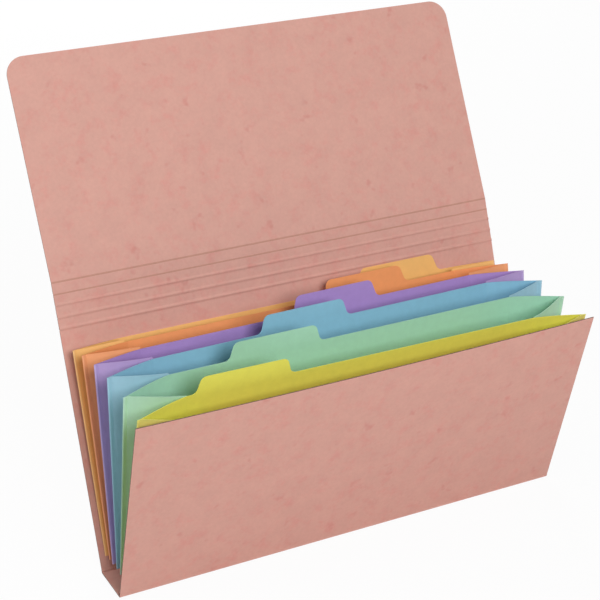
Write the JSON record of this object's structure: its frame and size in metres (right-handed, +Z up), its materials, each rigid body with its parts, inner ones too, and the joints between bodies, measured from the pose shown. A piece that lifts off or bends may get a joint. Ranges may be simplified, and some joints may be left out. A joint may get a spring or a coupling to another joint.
{
  "type": "expanding file",
  "caption": "Upright expanding file of folded pressboard with a tall flap, coloured tabbed dividers and side gussets that fold flat like bellows.",
  "frame": {"origin": "centre of the underside of the base, on the surface it stands on", "axes": "+X along the width to the right seen from the front, +Y to the back, +Z up"},
  "size_m": [0.26, 0.1605, 0.2438],
  "materials": {
    "cover_pressboard": "matte",
    "gold_card": "matte",
    "orange_card": "matte",
    "purple_card": "matte",
    "blue_card": "matte",
    "green_card": "matte",
    "yellow_card": "matte"
  },
  "bodies": {
    "base": {"base_panel": "cover_pressboard"},
    "front": {"front_panel": "cover_pressboard"},
    "back": {"back_panel": "cover_pressboard", "gold_divider": "gold_card", "gold_pocket_floor": "gold_card", "gold_gusset_left": "gold_card", "gold_gusset_right": "gold_card"},
    "orange_sheet": {"orange_divider": "orange_card", "orange_pocket_floor": "orange_card", "orange_gusset_left": "orange_card", "orange_gusset_right": "orange_card"},
    "purple_sheet": {"purple_divider": "purple_card", "purple_pocket_floor": "purple_card", "purple_gusset_left": "purple_card", "purple_gusset_right": "purple_card"},
    "blue_sheet": {"blue_divider": "blue_card", "blue_pocket_floor": "blue_card", "blue_gusset_left": "blue_card", "blue_gusset_right": "blue_card"},
    "green_sheet": {"green_divider": "green_card", "green_pocket_floor": "green_card", "green_gusset_left": "green_card", "green_gusset_right": "green_card"},
    "yellow_sheet": {"yellow_divider": "yellow_card", "yellow_pocket_floor": "yellow_card", "yellow_gusset_left": "yellow_card", "yellow_gusset_right": "yellow_card"},
    "top": {"top_strip_1": "cover_pressboard", "top_strip_2": "cover_pressboard", "top_strip_3": "cover_pressboard", "top_strip_4": "cover_pressboard"},
    "flap": {"closing_flap": "cover_pressboard"}
  },
  "joints": [
    {"name": "back_fold", "type": "hinge", "parent": "base", "child": "back", "pos_m": [0, 0.01175, 0.00025], "axis": [1, 0, 0], "range_deg": [0, 20.85]},
    {"name": "front_fold", "type": "hinge", "parent": "base", "child": "front", "pos_m": [0, -0.01175, 0.00025], "axis": [1, 0, 0], "range_deg": [-14.45, 0]},
    {"name": "orange_sheet_tilt", "type": "hinge", "parent": "base", "child": "orange_sheet", "pos_m": [0, 0.008, 0.00025], "axis": [1, 0, 0], "range_deg": [0, 18.65]},
    {"name": "purple_sheet_tilt", "type": "hinge", "parent": "base", "child": "purple_sheet", "pos_m": [0, 0.004, 0.00025], "axis": [1, 0, 0], "range_deg": [0, 12.75]},
    {"name": "blue_sheet_tilt", "type": "hinge", "parent": "base", "child": "blue_sheet", "pos_m": [0, 0, 0.00025], "axis": [1, 0, 0], "range_deg": [0, 6.35]},
    {"name": "green_sheet_tilt", "type": "hinge", "parent": "base", "child": "green_sheet", "pos_m": [0, -0.004, 0.00025], "axis": [1, 0, 0], "range_deg": [-2.25, 0]},
    {"name": "yellow_sheet_tilt", "type": "hinge", "parent": "base", "child": "yellow_sheet", "pos_m": [0, -0.008, 0.00025], "axis": [1, 0, 0], "range_deg": [-10.75, 0]},
    {"name": "top_fold", "type": "hinge", "parent": "back", "child": "top", "pos_m": [0, 0.05685, 0.11897], "axis": [1, 0, 0], "range_deg": [0, 90.6], "deforming": ["gold_gusset_left", "gold_gusset_right", "orange_gusset_left", "orange_gusset_right", "purple_gusset_left", "purple_gusset_right", "blue_gusset_left", "blue_gusset_right", "green_gusset_left", "green_gusset_right", "yellow_gusset_left", "yellow_gusset_right"]},
    {"name": "flap_fold", "type": "hinge", "parent": "top", "child": "flap", "pos_m": [0, 0.06575, 0.14169], "axis": [1, 0, 0], "range_deg": [-85, 95.5]}
  ],
  "couplings": [
    {"joint": "back_fold", "follows": "top_fold", "ratio": 0.22958},
    {"joint": "front_fold", "follows": "top_fold", "ratio": -0.15894},
    {"joint": "orange_sheet_tilt", "follows": "top_fold", "ratio": 0.2053},
    {"joint": "purple_sheet_tilt", "follows": "top_fold", "ratio": 0.14018},
    {"joint": "blue_sheet_tilt", "follows": "top_fold", "ratio": 0.069536},
    {"joint": "green_sheet_tilt", "follows": "top_fold", "ratio": -0.024283},
    {"joint": "yellow_sheet_tilt", "follows": "top_fold", "ratio": -0.1181}
  ]
}
